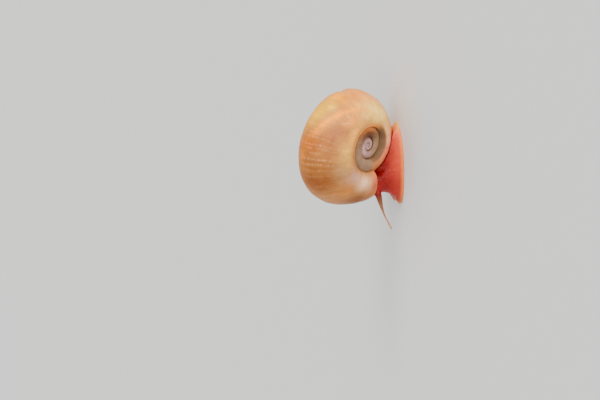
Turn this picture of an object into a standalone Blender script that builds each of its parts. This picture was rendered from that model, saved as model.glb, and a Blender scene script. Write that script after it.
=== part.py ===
"""Ramshorn snail at life size, crawling on a flat floor.

The head looks to -Y, the animal's left is +X and the sole lies on Z = 0. The flat-coiled shell leans to
the left, with its spire side down on the left and its umbilicus on the right. Written in metres.
"""
import math

import bmesh
import bpy
import numpy as np
from mathutils import Matrix, Vector

MM = 0.001
GAP = 0.3 * MM
SLIVER = 0.0008 * MM

# The shell: a tube of elliptical section that winds round an axis and grows with each turn. The section
# leans: its spire side reaches inward by SECTION_SKEW, and its outer side drops by SECTION_DROP.
SHELL_RADIUS = 10.96 * MM
SECTION_RADIAL = 3.3 * MM
SECTION_AXIAL = 4.53 * MM
SECTION_SKEW = 1.5 * MM
SECTION_DROP = 0.6 * MM
SPIRE_SINK = 1.46 * MM
GROWTH = 0.484
GROWTH_BEND = 0.112
WHORLS = 3.1
NUCLEUS_RADIUS = 0.65 * MM
LIP_WALL = 0.5 * MM
CALLUS = 0.25 * MM
INNER_SHOULDER = 1.08
HIDDEN_END_INSET = 0.3 * MM
CAVITY_DEPTH = math.radians(38.0)
CAVITY_FRONT = math.radians(6.0)
CAVITY_RINGS = 8
MANTLE_DEPTH = math.radians(34.0)
MANTLE_RINGS = 5
LIP_LEAD = math.radians(24.0)
LIP_REACH = math.radians(75.0)

# Where the shell sits on the animal: its lean, its swing about the vertical, and the lip's turn.
SHELL_LEAN = math.radians(28.6)
SHELL_YAW = math.radians(-7.0)
SHELL_TURN = math.radians(9.3)
APEX = Vector((4.09, 3.80, 6.22)) * MM

# Rings of flesh from the sole up to the neck. Each row gives, in millimetres, the front point (y, z),
# the back point (y, z), the half width, the middle's x, and the squareness of the front and back halves.
FLESH_STATIONS = np.array([
    [-7.20, 0.00, 6.60, 0.00, 3.35, 0.30, 2.7, 2.8, 1.5],
    [-7.35, 0.30, 6.70, 0.28, 3.42, 0.30, 2.7, 2.8, 1.5],
    [-6.55, 0.75, 6.25, 0.64, 3.05, 0.30, 2.6, 2.7, 1.6],
    [-5.75, 1.35, 5.00, 0.98, 2.66, 0.30, 2.5, 2.7, 1.8],
    [-5.25, 2.10, 3.20, 1.30, 2.42, 0.30, 2.4, 2.6, 2.0],
    [-5.10, 3.10, 1.20, 2.00, 2.28, 0.30, 2.2, 2.4, 2.1],
    [-5.15, 4.10, -0.20, 2.90, 2.18, 0.25, 2.1, 2.2, 2.1],
    [-5.00, 5.00, -1.40, 3.65, 2.30, 0.00, 2.0, 2.0, 2.0],
])
NECK_STATION = 7
INWARD_STATION = 8.5
LIP_STATION = 9
NECK_RISE = 0.6 * MM
STATION_TURN = math.radians(10.0)

# A shallow notch in the front edge of the foot and the face, under the mouth.
NOTCH_DEPTH = 0.7 * MM
NOTCH_WIDTH = 0.7 * MM
NOTCH_STATION = 0.8
NOTCH_RANGE = 1.6

# Places of the cuts that part the flesh.
TAIL_CUT_Y = 2.6 * MM
NECK_CUT_Z = 1.9 * MM
HEAD_CUT_FLOOR_Y = -4.9 * MM
HEAD_CUT_TOP_Y = -2.4 * MM
HEAD_CUT_TOP_Z = 4.5 * MM
MANTLE_CUT_DROP = 1.0 * MM

# Tentacles: a path of points in millimetres from inside the head to the tip, and the radius at each end.
LEFT_TENTACLE = [(1.0, -3.9, 4.0), (1.75, -4.6, 4.1), (2.2, -5.4, 3.97), (2.35, -6.3, 3.8), (2.55, -7.3, 3.6),
                 (2.75, -8.4, 3.3), (3.0, -9.6, 2.8), (3.3, -10.9, 2.25)]
RIGHT_TENTACLE = [(-0.3, -3.9, 4.0), (-1.1, -4.6, 4.1), (-1.9, -5.2, 4.1), (-3.0, -5.7, 4.05), (-4.2, -5.9, 3.85),
                  (-5.4, -5.75, 3.5), (-6.4, -5.2, 3.15), (-7.2, -4.4, 2.95)]
TENTACLE_ROOT_RADIUS = 0.48 * MM
TENTACLE_TIP_RADIUS = 0.2 * MM
TENTACLE_TAPER = 1.1
TENTACLE_STUB_END = 0.24
TENTACLE_JOINT = 0.58

EYE_RADIUS = 0.28 * MM
EYE_GAP = 0.18 * MM
EYE_SINK = 0.07 * MM
EYE_STATION = 5.8
EYE_ANGLE = math.radians(18.0)

# The mouth under the face: a slit between two soft lips, which lean forward at the top.
MOUTH_X = 0.3 * MM
MOUTH_HEIGHT = 0.75 * MM
MOUTH_STATION = 1.9
MOUTH_LEAN = math.radians(-40.0)
SLIT_RADII = (0.15 * MM, 0.7 * MM, 0.55 * MM)
SLIT_FORWARD = 0.3 * MM
LIP_RADII = (0.3 * MM, 0.34 * MM, 0.55 * MM)
LIP_SPREAD = 0.36 * MM
LIP_SINK = 0.05 * MM

# The middle of the whole animal's box, which goes over the origin.
BOX_MIDDLE = Vector((0.291, 0.865, 0.0)) * MM

RINGS_PER_TURN = 38
SECTION_POINTS = 32
FLESH_POINTS = 32
FLESH_STEP = 0.25
TENTACLE_POINTS = 15
STUB_POINTS = 6
PATH_POINTS = 60
WELD = 0.001 * MM
CUT_SNAP = 1e-7


def clear_scene():
    for obj in list(bpy.data.objects):
        bpy.data.objects.remove(obj, do_unlink=True)


def new_collection(name):
    collection = bpy.data.collections.new(name)
    bpy.context.scene.collection.children.link(collection)
    return collection


def material(name, colour, roughness, subsurface=0.0):
    mat = bpy.data.materials.new(name)
    mat.use_nodes = True
    shader = mat.node_tree.nodes["Principled BSDF"]
    shader.inputs["Base Color"].default_value = (*colour, 1.0)
    shader.inputs["Roughness"].default_value = roughness
    shader.inputs["Metallic"].default_value = 0.0
    shader.inputs["Subsurface Weight"].default_value = subsurface
    return mat


def signed_power(x, power):
    return np.sign(x) * np.abs(x) ** power


def smooth_step(x):
    x = np.clip(x, 0.0, 1.0)
    return x * x * (3.0 - 2.0 * x)


def whorl_size(t):
    """Size of the whorl at growth angle t, which is 0 at the lip and falls towards the apex."""
    turns = t / (2.0 * math.pi)
    return np.exp(GROWTH * turns - GROWTH_BEND * turns ** 2)


def inner_whorl_radius(height, t):
    """Outer radius, at a height along the axis, of the whorl one turn further in, with fuller shoulders."""
    scale = whorl_size(t - 2.0 * math.pi)
    reach = math.hypot(SECTION_AXIAL, SECTION_DROP) * INNER_SHOULDER
    side = np.clip((height / scale - (SPIRE_SINK - SECTION_AXIAL)) / reach, -1.0, 1.0)
    around = np.arcsin(side) + math.atan2(SECTION_DROP, SECTION_AXIAL)
    bulge = SECTION_RADIAL * np.cos(around) - SECTION_SKEW * np.sin(around)
    return scale * (SHELL_RADIUS - SECTION_RADIAL + bulge)


def whorl_ring(t, psi, inset=0.0, clear_inner=None):
    """Points of one section in the shell's own frame: X to the lip, Y along growth, Z along the axis.

    The section is a leaning ellipse, and near the lip its umbilical side runs ahead by up to LIP_LEAD.
    clear_inner holds the section that far outside the whorl within, which makes it a crescent.
    """
    across = np.cos(psi)
    along = np.sin(psi)
    lead = LIP_LEAD * (1.0 - along) / 2.0 * smooth_step(1.0 + t / LIP_REACH)
    angle = t + lead
    scale = whorl_size(angle)
    radius = SHELL_RADIUS - SECTION_RADIAL + (SECTION_RADIAL - inset) * across - SECTION_SKEW * along
    height = SPIRE_SINK - SECTION_AXIAL + (SECTION_AXIAL - inset) * along - SECTION_DROP * across
    radius = scale * radius
    height = scale * height
    if clear_inner is not None:
        radius = np.maximum(radius, inner_whorl_radius(height, angle) + clear_inner)
    return np.stack([radius * np.cos(angle), radius * np.sin(angle), height], axis=-1)


def shell_matrix():
    """World matrix of the shell's own frame, from its lean, yaw and turn."""
    axis = Vector((
        math.cos(SHELL_LEAN) * math.cos(SHELL_YAW),
        math.cos(SHELL_LEAN) * math.sin(SHELL_YAW),
        -math.sin(SHELL_LEAN),
    ))
    forward = Vector((0.0, -1.0, 0.0))
    across = (forward - forward.dot(axis) * axis).normalized()
    growth = axis.cross(across)
    to_lip = math.cos(SHELL_TURN) * across + math.sin(SHELL_TURN) * growth
    past_lip = axis.cross(to_lip)
    rotation = Matrix((to_lip, past_lip, axis)).transposed()
    return Matrix.Translation(APEX) @ rotation.to_4x4()


def through_rows(x, rows):
    """Smooth values at positions x between equally spaced rows, by cubic Hermite pieces."""
    x = np.clip(x, 0.0, len(rows) - 1.0)
    low = np.minimum(x.astype(int), len(rows) - 2)
    f = (x - low)[..., None]
    slope = np.gradient(rows, axis=0)
    start = (1.0 + 2.0 * f) * (1.0 - f) ** 2 * rows[low] + f * (1.0 - f) ** 2 * slope[low]
    end = f * f * (3.0 - 2.0 * f) * rows[low + 1] - f * f * (1.0 - f) * slope[low + 1]
    return start + end


def flesh_ring(station, phi):
    """Points of one ring of flesh, with phi 0 at the front and a quarter turn on at the left.

    Up to NECK_STATION a ring spans a front and a back point, with superellipse halves. From there it
    turns smoothly into the shell's crescent mouth, and past LIP_STATION it goes on inside the shell.
    """
    front_y, front_z, back_y, back_z, width, middle, front_p, back_p, back_q = np.moveaxis(
        through_rows(np.asarray(station, float), FLESH_STATIONS), -1, 0)
    c, s = np.cos(phi), np.sin(phi)
    along = signed_power(c, np.where(c > 0.0, 2.0 / front_p, 2.0 / back_p))
    aside = signed_power(s, np.where(c > 0.0, 2.0 / front_p, 2.0 / back_q))
    x = (middle + width * aside) * MM
    y = ((front_y + back_y) + along * (front_y - back_y)) / 2.0 * MM
    z = ((front_z + back_z) + along * (front_z - back_z)) / 2.0 * MM
    notch = NOTCH_DEPTH * np.exp(-((x - middle * MM) / NOTCH_WIDTH) ** 2)
    y = y + notch * np.exp(-((station - NOTCH_STATION) / NOTCH_RANGE) ** 2) * np.clip(c, 0.0, 1.0)
    rise = np.clip(station - NECK_STATION, 0.0, LIP_STATION - NECK_STATION)
    ring = np.stack([x, y, z + rise * NECK_RISE], axis=-1)
    depth = np.clip(station - INWARD_STATION, 0.0, None)
    mouth = whorl_ring(-depth * STATION_TURN, phi, inset=LIP_WALL + GAP, clear_inner=CALLUS + GAP)
    turn = smooth_step(rise / (LIP_STATION - NECK_STATION))[..., None]
    return in_world(off_inner_whorl((1.0 - turn) * in_shell(ring) + turn * mouth))


def in_shell(points):
    matrix = np.array(shell_matrix())
    return (points - matrix[:3, 3]) @ matrix[:3, :3]


def in_world(points):
    matrix = np.array(shell_matrix())
    return points @ matrix[:3, :3].T + matrix[:3, 3]


def off_inner_whorl(points):
    """Points in the shell's frame, moved out from the axis where they come too near the whorl under the lip."""
    angle = np.arctan2(points[..., 1], points[..., 0])
    radius = np.hypot(points[..., 0], points[..., 1])
    radius = np.maximum(radius, inner_whorl_radius(points[..., 2], angle) + CALLUS + GAP)
    return np.stack([radius * np.cos(angle), radius * np.sin(angle), points[..., 2]], axis=-1)


def loft(name, rings, collection):
    """Closed mesh from a stack of rings, with caps of strips that join points at the same side height."""
    count, points = rings.shape[:2]
    half = points // 2
    faces = []
    for i in range(count - 1):
        for k in range(points):
            after = (k + 1) % points
            faces.append((i * points + k, i * points + after, (i + 1) * points + after, (i + 1) * points + k))
    for k in range(-points // 4, points // 4):
        strip = [k % points, (half - k) % points, (half - k - 1) % points, (k + 1) % points]
        strip = list(dict.fromkeys(strip))
        faces.append(strip)
        faces.append([(count - 1) * points + i for i in reversed(strip)])
    mesh = bpy.data.meshes.new(name)
    mesh.from_pydata(rings.reshape(-1, 3).tolist(), [], faces)
    bm = bmesh.new()
    bm.from_mesh(mesh)
    bmesh.ops.recalc_face_normals(bm, faces=bm.faces)
    bmesh.ops.triangulate(bm, faces=bm.faces)
    bm.to_mesh(mesh)
    bm.free()
    obj = bpy.data.objects.new(name, mesh)
    collection.objects.link(obj)
    return obj


def apply_modifiers(obj):
    bpy.context.view_layer.update()
    mesh = bpy.data.meshes.new_from_object(obj.evaluated_get(bpy.context.evaluated_depsgraph_get()))
    obj.modifiers.clear()
    obj.data = mesh


def keep_largest(obj):
    """Close slivers shorter than SLIVER and keep only the closed surface of the largest volume."""
    bm = bmesh.new()
    bm.from_mesh(obj.data)
    bmesh.ops.triangulate(bm, faces=bm.faces)
    bmesh.ops.remove_doubles(bm, verts=bm.verts, dist=SLIVER)
    bmesh.ops.dissolve_degenerate(bm, edges=bm.edges, dist=SLIVER)
    left = set(bm.faces)
    islands = []
    while left:
        island = {left.pop()}
        edge_of = list(island)
        while edge_of:
            face = edge_of.pop()
            for edge in face.edges:
                for other in edge.link_faces:
                    if other in left:
                        left.discard(other)
                        island.add(other)
                        edge_of.append(other)
        islands.append(island)

    def volume(island):
        total = 0.0
        for face in island:
            first = face.verts[0].co
            for a, b in zip(face.verts[1:], face.verts[2:]):
                total += first.dot(a.co.cross(b.co))
        return abs(total)

    islands.sort(key=volume)
    drop = [face for island in islands[:-1] for face in island]
    bmesh.ops.delete(bm, geom=drop, context="FACES")
    loose = [vert for vert in bm.verts if not vert.link_faces]
    bmesh.ops.delete(bm, geom=loose, context="VERTS")
    bm.to_mesh(obj.data)
    bm.free()


def fuse(obj, pieces):
    """Join closed pieces to a closed object with one exact union, and remove them."""
    joining = new_collection("joining")
    for piece in pieces:
        for collection in list(piece.users_collection):
            collection.objects.unlink(piece)
        joining.objects.link(piece)
    union = obj.modifiers.new("Union", "BOOLEAN")
    union.operation = "UNION"
    union.operand_type = "COLLECTION"
    union.collection = joining
    union.solver = "EXACT"
    apply_modifiers(obj)
    for piece in pieces:
        bpy.data.objects.remove(piece, do_unlink=True)
    bpy.data.collections.remove(joining)
    keep_largest(obj)


def cut(obj, cutter):
    """Take a closed cutter out of an object. The cutter stays in its own collection as a guide."""
    cutter.hide_render = True
    cutter.display_type = "WIRE"
    difference = obj.modifiers.new("Cut", "BOOLEAN")
    difference.operation = "DIFFERENCE"
    difference.object = cutter
    difference.solver = "EXACT"
    apply_modifiers(obj)
    keep_largest(obj)


def ellipsoid(name, centre, radii, collection, tilt=0.0, segments=12, rings=8):
    mesh = bpy.data.meshes.new(name)
    bm = bmesh.new()
    bmesh.ops.create_uvsphere(bm, u_segments=segments, v_segments=rings, radius=1.0)
    bmesh.ops.transform(bm, verts=bm.verts, matrix=Matrix.Rotation(tilt, 4, "X") @ Matrix.Diagonal((*radii, 1.0)))
    bmesh.ops.triangulate(bm, faces=bm.faces)
    bm.to_mesh(mesh)
    bm.free()
    obj = bpy.data.objects.new(name, mesh)
    obj.location = centre
    collection.objects.link(obj)
    return obj


def make_shell(parts, cutters):
    """Half turns of the growing tube, fused into one body, with the mouth hollowed from the lip.

    Each half turn runs on by one narrower section into its neighbour, so that the joints lie inside.
    """
    psi = np.arange(SECTION_POINTS) * 2.0 * math.pi / SECTION_POINTS
    step = 2.0 * math.pi / RINGS_PER_TURN
    halves = math.ceil(WHORLS * 2.0)
    segments = []
    for number in range(halves):
        start = -math.pi * (number + 1)
        steps = np.linspace(start, start + math.pi, RINGS_PER_TURN // 2 + 1)
        inset = np.zeros(len(steps))
        if number < halves - 1:
            steps = np.append(start - step, steps)
            inset = np.append(HIDDEN_END_INSET, inset)
        if number > 0:
            steps = np.append(steps, start + math.pi + step)
            inset = np.append(inset, HIDDEN_END_INSET)
        t, angle = np.meshgrid(steps, psi, indexing="ij")
        segments.append(loft(f"half_turn_{number}", whorl_ring(t, angle, inset=inset[:, None]), parts))
    t, angle = np.meshgrid(np.linspace(-CAVITY_DEPTH, CAVITY_FRONT, CAVITY_RINGS), psi, indexing="ij")
    cavity = loft("mouth_cavity", whorl_ring(t, angle, inset=LIP_WALL, clear_inner=CALLUS), cutters)
    shell = segments[0]
    shell.name = "shell"
    cut(shell, cavity)
    nucleus = ellipsoid("nucleus", Vector((0.0, 0.0, -NUCLEUS_RADIUS)), (NUCLEUS_RADIUS,) * 3, parts)
    fuse(shell, segments[1:] + [nucleus])
    matrix = shell_matrix()
    for obj in (shell, cavity):
        obj.location = matrix.to_translation()
        obj.rotation_euler = matrix.to_euler()
    return shell


def smooth_path(points, count):
    """A dense smooth path through a few points."""
    rows = np.array(points) * MM
    position = np.linspace(0.0, len(rows) - 1.0, count)
    return through_rows(position, rows)


def tentacle_piece(name, points, start, end, collection):
    """The stretch of a tapering tentacle between two fractions of its length, as a closed mesh."""
    path = smooth_path(points, PATH_POINTS)
    length = np.concatenate([[0.0], np.cumsum(np.linalg.norm(np.diff(path, axis=0), axis=1))])
    share = np.linspace(start, end, TENTACLE_POINTS if start > 0.0 else STUB_POINTS)
    places = np.stack([np.interp(share * length[-1], length, path[:, i]) for i in range(3)], axis=-1)
    radii = TENTACLE_ROOT_RADIUS + (TENTACLE_TIP_RADIUS - TENTACLE_ROOT_RADIUS) * share ** TENTACLE_TAPER
    curve = bpy.data.curves.new(name, "CURVE")
    curve.dimensions = "3D"
    curve.bevel_depth = 1.0
    curve.bevel_resolution = 2
    curve.use_fill_caps = True
    spline = curve.splines.new("POLY")
    spline.points.add(len(places) - 1)
    for point, place, radius in zip(spline.points, places, radii):
        point.co = (*place, 1.0)
        point.radius = radius
    tube = bpy.data.objects.new(name + "_path", curve)
    collection.objects.link(tube)
    bpy.context.view_layer.update()
    mesh = bpy.data.meshes.new_from_object(tube.evaluated_get(bpy.context.evaluated_depsgraph_get()))
    bm = bmesh.new()
    bm.from_mesh(mesh)
    bmesh.ops.remove_doubles(bm, verts=bm.verts, dist=WELD)
    bmesh.ops.recalc_face_normals(bm, faces=bm.faces)
    bmesh.ops.triangulate(bm, faces=bm.faces)
    bm.to_mesh(mesh)
    bm.free()
    mesh.name = name
    obj = bpy.data.objects.new(name, mesh)
    obj.matrix_world = tube.matrix_world
    bpy.data.objects.remove(tube, do_unlink=True)
    collection.objects.link(obj)
    return obj


def eye_place(side):
    """Centre of an eye, just under the skin at the inner base of a tentacle."""
    phi = side * EYE_ANGLE
    step = 0.05
    here = flesh_ring(np.array(EYE_STATION), np.array(phi))
    round_ring = flesh_ring(np.array(EYE_STATION), np.array(phi + step)) - here
    up_side = flesh_ring(np.array(EYE_STATION + step), np.array(phi)) - here
    out = np.cross(up_side, round_ring)
    out = out / np.linalg.norm(out)
    if out[1] > 0.0:
        out = -out
    return Vector(here - out * EYE_SINK)


def make_flesh(parts, cutters):
    """The whole body as one mesh: foot, head and neck, up into the shell's mouth."""
    phi = np.arange(FLESH_POINTS) * 2.0 * math.pi / FLESH_POINTS
    last_station = INWARD_STATION + MANTLE_DEPTH / STATION_TURN
    outside = np.arange(0.0, LIP_STATION, FLESH_STEP)
    inside = np.linspace(LIP_STATION, last_station, MANTLE_RINGS)
    station, angle = np.meshgrid(np.concatenate([outside, inside]), phi, indexing="ij")
    flesh = loft("flesh", flesh_ring(station, angle), parts)
    face_y = flesh_ring(np.array(MOUTH_STATION), np.array(0.0))[1]
    added = []
    for side, name, points in ((1, "left", LEFT_TENTACLE), (-1, "right", RIGHT_TENTACLE)):
        lip_place = Vector((MOUTH_X + side * LIP_SPREAD, face_y + LIP_SINK, MOUTH_HEIGHT))
        added.append(ellipsoid(f"lip_{name}", lip_place, LIP_RADII, parts, tilt=MOUTH_LEAN))
        added.append(tentacle_piece(f"stub_{name}", points, 0.0, TENTACLE_STUB_END, parts))
    fuse(flesh, added)
    slit_place = Vector((MOUTH_X, face_y - SLIT_FORWARD, MOUTH_HEIGHT))
    cut(flesh, ellipsoid("mouth_slit", slit_place, SLIT_RADII, cutters, tilt=MOUTH_LEAN))
    for side, name in ((1, "left"), (-1, "right")):
        socket_radius = EYE_RADIUS + EYE_GAP
        cut(flesh, ellipsoid(f"socket_{name}", eye_place(side), (socket_radius,) * 3, cutters))
    return flesh


def part_flesh(flesh, name, planes, parts):
    """The piece of the flesh behind every plane, each given by a point and its outward direction."""
    bm = bmesh.new()
    bm.from_mesh(flesh.data)
    for point, outward in planes:
        geometry = bm.verts[:] + bm.edges[:] + bm.faces[:]
        bmesh.ops.bisect_plane(
            bm, geom=geometry, dist=CUT_SNAP, plane_co=point, plane_no=outward, clear_outer=True)
        rim = [edge for edge in bm.edges if edge.is_boundary]
        bmesh.ops.holes_fill(bm, edges=rim, sides=0)
    bmesh.ops.recalc_face_normals(bm, faces=bm.faces)
    bmesh.ops.triangulate(bm, faces=bm.faces)
    mesh = bpy.data.meshes.new(name)
    bm.to_mesh(mesh)
    bm.free()
    obj = bpy.data.objects.new(name, mesh)
    parts.objects.link(obj)
    keep_largest(obj)
    return obj


def make_body(parts, cutters):
    """The flesh parted into mantle, neck, head, foot and tail by thin cuts."""
    flesh = make_flesh(parts, cutters)
    matrix = shell_matrix()
    rim = whorl_ring(np.zeros(4), np.arange(4) * math.pi / 2.0)
    outer, left, inner, right = (matrix @ Vector(point) for point in rim)
    lip_middle = (outer + left + inner + right) / 4.0
    into_shell = (left - right).cross(inner - outer).normalized()
    if into_shell.z < 0.0:
        into_shell = -into_shell
    lip_point = lip_middle - into_shell * MANTLE_CUT_DROP
    head_slope = Vector((0.0, HEAD_CUT_TOP_Y - HEAD_CUT_FLOOR_Y, HEAD_CUT_TOP_Z)).normalized()
    head_front = Vector((0.0, -head_slope.z, head_slope.y))
    head_point = Vector((0.0, HEAD_CUT_FLOOR_Y, 0.0))
    up = Vector((0.0, 0.0, 1.0))
    back = Vector((0.0, 1.0, 0.0))
    neck_point = Vector((0.0, 0.0, NECK_CUT_Z))
    tail_point = Vector((0.0, TAIL_CUT_Y, 0.0))
    half = GAP / 2.0

    def before(point, direction):
        return point - direction * half, direction

    def beyond(point, direction):
        return point + direction * half, -direction

    pieces = {
        "mantle": [beyond(lip_point, into_shell)],
        "neck": [before(lip_point, into_shell), before(head_point, head_front), beyond(neck_point, up)],
        "head": [before(lip_point, into_shell), beyond(head_point, head_front)],
        "foot": [before(head_point, head_front), before(neck_point, up), before(tail_point, back)],
        "tail": [beyond(tail_point, back)],
    }
    made = [part_flesh(flesh, name, planes, parts) for name, planes in pieces.items()]
    bpy.data.objects.remove(flesh, do_unlink=True)
    return made


def make_tentacles(parts):
    """Each tentacle in two lengths, with a thin gap to the head's stub and between them."""
    made = []
    for side, points in (("left", LEFT_TENTACLE), ("right", RIGHT_TENTACLE)):
        steps = np.diff(smooth_path(points, PATH_POINTS), axis=0)
        share_of_gap = GAP / float(np.sum(np.linalg.norm(steps, axis=1)))
        base_start = TENTACLE_STUB_END + share_of_gap
        base = tentacle_piece(f"tentacle_{side}_base", points, base_start, TENTACLE_JOINT, parts)
        tip = tentacle_piece(f"tentacle_{side}_tip", points, TENTACLE_JOINT + share_of_gap, 1.0, parts)
        made += [base, tip]
    return made


def make_eyes(parts):
    made = []
    for side, name in ((1, "left"), (-1, "right")):
        eye = ellipsoid(f"eye_{name}", eye_place(side), (EYE_RADIUS,) * 3, parts)
        made.append(eye)
    return made


def main():
    clear_scene()
    parts = new_collection("ramshorn_snail")
    cutters = new_collection("cutters")
    shell = make_shell(parts, cutters)
    body = make_body(parts, cutters)
    tentacles = make_tentacles(parts)
    eyes = make_eyes(parts)
    root = bpy.data.objects.new("snail_root", None)
    parts.objects.link(root)
    root.location = -BOX_MIDDLE
    horn = material("shell_horn", (0.62, 0.25, 0.07), 0.3, 0.2)
    red = material("flesh_red", (0.55, 0.03, 0.02), 0.45, 0.3)
    pale = material("tentacle_red", (0.5, 0.08, 0.05), 0.45, 0.3)
    dark = material("eye_black", (0.01, 0.01, 0.012), 0.15)
    for objects, finish in (([shell], horn), (body, red), (tentacles, pale), (eyes, dark)):
        for obj in objects:
            obj.data.materials.clear()
            obj.data.materials.append(finish)
            obj.data.shade_smooth()
            obj.parent = root
    for cutter in cutters.objects:
        cutter.parent = root
    bpy.context.view_layer.update()


main()
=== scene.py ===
"""Looks of the ramshorn snail: a horn shell, moist red flesh and two eyes, on a plain pale floor.

Lengths are metres. The head looks to -Y, the animal's left is +X and the sole lies on Z = 0. Shapes are
worked out with the formulas of the solids, so each piece lies where its solids lie. On the shell, the growth
angle t is 0 at the lip and falls towards the nucleus, and the section angle psi is 0 at the periphery and
rises towards the spire side.
"""
import math

import bpy
import numpy as np
from mathutils import Matrix, Vector


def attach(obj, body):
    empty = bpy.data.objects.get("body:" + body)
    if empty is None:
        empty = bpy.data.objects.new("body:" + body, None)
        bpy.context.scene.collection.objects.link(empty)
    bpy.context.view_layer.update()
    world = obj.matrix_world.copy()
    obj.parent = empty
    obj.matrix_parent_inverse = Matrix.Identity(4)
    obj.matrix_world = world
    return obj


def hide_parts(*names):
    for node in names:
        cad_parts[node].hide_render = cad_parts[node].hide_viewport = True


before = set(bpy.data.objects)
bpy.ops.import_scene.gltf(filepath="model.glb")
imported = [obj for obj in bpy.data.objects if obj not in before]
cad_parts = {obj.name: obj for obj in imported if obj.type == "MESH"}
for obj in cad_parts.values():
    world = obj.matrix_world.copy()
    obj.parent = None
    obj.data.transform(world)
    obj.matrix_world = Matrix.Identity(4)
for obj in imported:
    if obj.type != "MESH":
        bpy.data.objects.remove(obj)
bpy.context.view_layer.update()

MM = 0.001
TURN = 2.0 * math.pi
BOX_MIDDLE = np.array([0.291, 0.865, 0.0]) * MM

# The shell's winding, as in the solids.
SHELL_RADIUS = 10.96 * MM
SECTION_RADIAL = 3.3 * MM
SECTION_AXIAL = 4.53 * MM
SECTION_SKEW = 1.5 * MM
SECTION_DROP = 0.6 * MM
SPIRE_SINK = 1.46 * MM
GROWTH = 0.484
GROWTH_BEND = 0.112
LIP_LEAD = math.radians(24.0)
LIP_REACH = math.radians(75.0)
SHELL_LEAN = math.radians(28.6)
SHELL_YAW = math.radians(-7.0)
SHELL_TURN = math.radians(9.3)
APEX = np.array([4.09, 3.80, 6.22]) * MM
UNDER_MOUTH = 1.08

# The shell's wall: thin at the lip and thicker inside, with a callus over the whorl within.
WHORLS = 4.0
WALL_AT_LIP = 0.2 * MM
WALL_INSIDE = 0.5 * MM
CALLUS = 0.25 * MM
HIDDEN_OVERLAP = 0.12 * MM
AXIS_OVERLAP = 0.1 * MM
SUTURE_FILLET = 0.5 * MM
FILLET_POWER = 0.4
NUCLEUS_DOME = 0.35
MOUTH_DEPTH = math.radians(38.0)
MOUTH_CLOSE = math.radians(4.0)
SHELL_ROWS = 760
SHELL_POINTS = 112
ROW_POWER = 0.72

# Relief of the shell, in millimetres. Growth ridges: height (below zero for grooves), spacing, unevenness,
# width and seed. Dents: height, wavelength and seed.
GROWTH_RIDGES = [(0.005, 0.42, 0.35, 0.11, 3), (0.020, 1.15, 0.5, 0.22, 5), (-0.055, 6.0, 0.5, 0.4, 8)]
DENTS = [(0.06, 2.6, 11), (0.022, 1.1, 12)]
PALE_LINES = (0.95, 0.3, 0.13, 21)
BROWN_LINES = (0.95, 0.3, 0.3, 21)
REST_MARK_DEPTH = 0.38
LIP_FLARE = 0.32
RELIEF_POWER = 0.8
RELIEF_INSIDE = 0.15

# Places on the shell: growth angle and section angle of the middle, and the reach in each, in degrees.
REST_MARK_PLACE = (-179.0, -28.0, 4.2, 42.0)
PALE_LINE_PLACE = (-95.0, 10.0, 18.0, 36.0)
BROWN_LINE_PLACE = (-76.0, 14.0, 26.0, 44.0)

# Where the pit's floor and the nucleus begin, in turns back from the lip, and the width of a seam's shade.
PIT_TURNS = 0.97
NUCLEUS_TURNS = 1.9
SEAM_WIDTH = 0.55 * MM
ROUND_MARKS = 4.0

# The flesh, in millimetres, as in the solids: rings from the sole up to the neck. Each row is a ring's front
# y and z, back y and z, half width and middle x, then the powers of its curve in front, behind and aside.
FLESH_STATIONS = np.array([
    [-7.20, 0.00, 6.60, 0.00, 3.35, 0.30, 2.7, 2.8, 1.5],
    [-7.35, 0.30, 6.70, 0.28, 3.42, 0.30, 2.7, 2.8, 1.5],
    [-6.55, 0.75, 6.25, 0.64, 3.05, 0.30, 2.6, 2.7, 1.6],
    [-5.75, 1.35, 5.00, 0.98, 2.66, 0.30, 2.5, 2.7, 1.8],
    [-5.25, 2.10, 3.20, 1.30, 2.42, 0.30, 2.4, 2.6, 2.0],
    [-5.10, 3.10, 1.20, 2.00, 2.28, 0.30, 2.2, 2.4, 2.1],
    [-5.15, 4.10, -0.20, 2.90, 2.18, 0.25, 2.1, 2.2, 2.1],
    [-5.00, 5.00, -1.40, 3.65, 2.30, 0.00, 2.0, 2.0, 2.0],
])
NECK_STATION = 7
LIP_STATION = 9
INWARD_STATION = 8.5
NECK_RISE = 0.6 * MM
STATION_TURN = math.radians(10.0)
MANTLE_DEPTH = math.radians(34.0)
NOTCH_DEPTH = 0.7 * MM
NOTCH_WIDTH = 0.7 * MM
NOTCH_STATION = 0.8
NOTCH_RANGE = 1.6
SKIN_GAP = 0.12 * MM
BODY_ROWS = 200
BODY_POINTS = 180
SOLE_ROWS = 24

# The tentacles: points along each from its root, in millimetres, and shares of its length.
LEFT_TENTACLE = [(1.0, -3.9, 4.0), (1.75, -4.6, 4.1), (2.2, -5.4, 3.97), (2.35, -6.3, 3.8),
                 (2.55, -7.3, 3.6), (2.75, -8.4, 3.3), (3.0, -9.6, 2.8), (3.3, -10.9, 2.25)]
RIGHT_TENTACLE = [(-0.3, -3.9, 4.0), (-1.1, -4.6, 4.1), (-1.9, -5.2, 4.1), (-3.0, -5.7, 4.05),
                  (-4.2, -5.9, 3.85), (-5.4, -5.75, 3.5), (-6.4, -5.2, 3.15), (-7.2, -4.4, 2.95)]
TENTACLE_ROOT_RADIUS = 0.54 * MM
TENTACLE_TIP_RADIUS = 0.14 * MM
TENTACLE_ROOT_END = 0.1
TENTACLE_CONE_END = 0.7
TENTACLE_ROUND = 0.025
ROOT_FLARE = 0.35 * MM
ROOT_FLARE_FADE = 16.0
ROOT_STEPS = 8

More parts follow.
